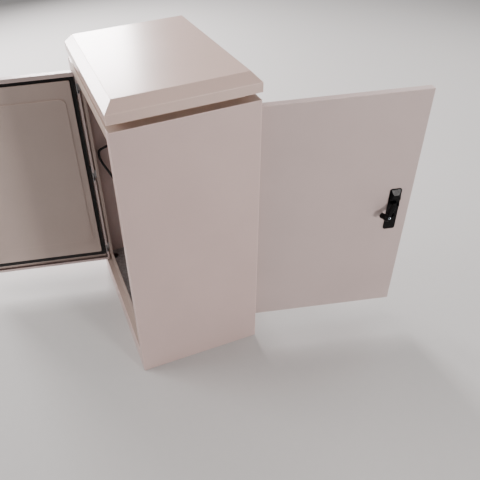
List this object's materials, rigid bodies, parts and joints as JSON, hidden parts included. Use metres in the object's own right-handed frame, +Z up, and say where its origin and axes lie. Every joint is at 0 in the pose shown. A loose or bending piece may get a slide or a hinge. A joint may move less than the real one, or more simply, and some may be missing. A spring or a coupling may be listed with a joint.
{
  "type": "traffic signal controller cabinet",
  "caption": "Outdoor sheet steel cabinet with a raised vented roof, hinged doors front and rear standing open, swing handles with lock rods, and a rack of signal equipment inside.",
  "frame": {"origin": "centre of the base, on the floor, midway between the four anchor holes", "axes": "+Z up, -Y out of the front doorway, +Y out of the rear doorway, -X the front door's hinge side"},
  "size_m": [0.851, 1.5069, 1.0827],
  "materials": {
    "body_paint": "semi-gloss powder coat",
    "zinc_steel": "galvanised",
    "bright_steel": "plated",
    "black_handle": "satin black",
    "lock_chrome": "polished",
    "foam_seal": "foamed",
    "rack_aluminium": "anodised",
    "display_glass": "tinted window",
    "pale_plastic": "moulded",
    "black_plastic": "moulded",
    "box_plastic": "moulded",
    "cable_rubber": "sheathed"
  },
  "bodies": {
    "cabinet": {"left_side_panel": "body_paint", "right_side_panel": "body_paint", "top_panel": "body_paint", "sill_panels": "body_paint", "floor_panel": "zinc_steel", "base_frame": "zinc_steel", "front_door_frame": "body_paint", "rear_door_frame": "body_paint", "neck_frame": "body_paint", "roof_cap": "body_paint", "roof_bolts": "bright_steel", "front_hinge_brackets": "zinc_steel", "rear_hinge_brackets": "zinc_steel", "rack_posts": "zinc_steel", "controller_rack": "rack_aluminium", "output_cards": "rack_aluminium", "control_card": "rack_aluminium", "control_display": "display_glass", "breaker_panel": "rack_aluminium", "circuit_breakers": "pale_plastic", "power_supply": "rack_aluminium", "equipment_shelf": "zinc_steel", "mounting_rails": "zinc_steel", "terminal_blocks": "pale_plastic", "supply_box": "box_plastic", "gland_plate": "zinc_steel", "cable_glands": "black_plastic", "fan_housing": "black_plastic", "signal_cable": "cable_rubber", "cable_sleeve": "cable_rubber"},
    "front_door": {"front_hinge_leaves": "zinc_steel", "front_hinge_pins": "bright_steel", "front_door_pan": "body_paint", "front_door_liner": "body_paint", "front_door_seal": "foam_seal", "front_handle_plate": "black_handle", "document_pocket": "zinc_steel"},
    "front_handle": {"front_handle_hub": "black_handle", "front_rod_cam": "zinc_steel"},
    "front_lever": {"front_handle_lever": "black_handle", "front_lock_cylinder": "lock_chrome"},
    "front_key_plug": {"front_lock_plug": "lock_chrome"},
    "front_rod_up": {"front_upper_rod": "zinc_steel"},
    "front_rod_down": {"front_lower_rod": "zinc_steel"},
    "rear_door": {"rear_hinge_leaves": "zinc_steel", "rear_hinge_pins": "bright_steel", "rear_door_pan": "body_paint", "rear_door_liner": "body_paint", "rear_door_seal": "foam_seal", "rear_handle_plate": "black_handle"},
    "rear_handle": {"rear_handle_hub": "black_handle", "rear_rod_cam": "zinc_steel"},
    "rear_lever": {"rear_handle_lever": "black_handle", "rear_lock_cylinder": "lock_chrome"},
    "rear_key_plug": {"rear_lock_plug": "lock_chrome"},
    "rear_rod_up": {"rear_upper_rod": "zinc_steel"},
    "rear_rod_down": {"rear_lower_rod": "zinc_steel"},
    "mains_toggle": {"mains_breaker_toggle": "black_plastic"},
    "lamp_toggle": {"lamp_breaker_toggle": "black_plastic"},
    "fan_blades": {"fan_rotor": "black_plastic"}
  },
  "joints": [
    {"name": "front_door_swing", "type": "hinge", "parent": "cabinet", "child": "front_door", "pos_m": [-0.268, -0.218, 0.5235], "axis": [0, 0, -1], "range_deg": [-103.2, 6.8]},
    {"name": "front_handle_swing", "type": "hinge", "parent": "front_door", "child": "front_handle", "pos_m": [-0.38625, -0.69151, 0.553], "axis": [0.9736, -0.2284, 0], "range_deg": [-43, 47]},
    {"name": "front_lever_lift", "type": "hinge", "parent": "front_handle", "child": "front_lever", "pos_m": [-0.40085, -0.68808, 0.553], "axis": [0.167, 0.712, 0.682], "range_deg": [-3, 0]},
    {"name": "front_key_turn", "type": "hinge", "parent": "front_lever", "child": "front_key_plug", "pos_m": [-0.41491, -0.65177, 0.51853], "axis": [-0.9482, -0.0737, 0.3091], "range_deg": [0, 90]},
    {"name": "front_rod_up_slide", "type": "slide", "parent": "front_door", "child": "front_rod_up", "axis": [0, 0, -1], "range_m": [-0.01082, 0.01182]},
    {"name": "front_rod_down_slide", "type": "slide", "parent": "front_door", "child": "front_rod_down", "axis": [0, 0, 1], "range_m": [-0.01082, 0.01182]},
    {"name": "rear_door_swing", "type": "hinge", "parent": "cabinet", "child": "rear_door", "pos_m": [0.268, 0.218, 0.5235], "axis": [0, 0, -1], "range_deg": [-102.4, 7.6]},
    {"name": "rear_handle_swing", "type": "hinge", "parent": "rear_door", "child": "rear_handle", "pos_m": [0.37963, 0.69311, 0.553], "axis": [-0.9767, 0.2147, 0], "range_deg": [-43, 47]},
    {"name": "rear_lever_lift", "type": "hinge", "parent": "rear_handle", "child": "rear_lever", "pos_m": [0.39428, 0.68989, 0.553], "axis": [-0.157, -0.7143, 0.682], "range_deg": [-3, 0]},
    {"name": "rear_key_turn", "type": "hinge", "parent": "rear_lever", "child": "rear_key_plug", "pos_m": [0.40884, 0.65378, 0.51853], "axis": [0.9471, 0.0869, 0.3091], "range_deg": [0, 90]},
    {"name": "rear_rod_up_slide", "type": "slide", "parent": "rear_door", "child": "rear_rod_up", "axis": [0, 0, -1], "range_m": [-0.01082, 0.01182]},
    {"name": "rear_rod_down_slide", "type": "slide", "parent": "rear_door", "child": "rear_rod_down", "axis": [0, 0, 1], "range_m": [-0.01082, 0.01182]},
    {"name": "mains_breaker_switch", "type": "hinge", "parent": "cabinet", "child": "mains_toggle", "pos_m": [-0.078, -0.1485, 0.5865], "axis": [1, 0, 0], "range_deg": [0, 40]},
    {"name": "lamp_breaker_switch", "type": "hinge", "parent": "cabinet", "child": "lamp_toggle", "pos_m": [-0.042, -0.1485, 0.5865], "axis": [1, 0, 0], "range_deg": [0, 40]},
    {"name": "fan_spin", "type": "hinge", "parent": "cabinet", "child": "fan_blades", "pos_m": [0, 0, 0.98], "axis": [0, 0, 1], "continuous": true}
  ],
  "couplings": [
    {"joint": "front_rod_up_slide", "follows": "front_handle_swing", "m_per_rad": 0.014405},
    {"joint": "front_rod_down_slide", "follows": "front_handle_swing", "m_per_rad": 0.014405},
    {"joint": "rear_rod_up_slide", "follows": "rear_handle_swing", "m_per_rad": 0.014405},
    {"joint": "rear_rod_down_slide", "follows": "rear_handle_swing", "m_per_rad": 0.014405}
  ]
}
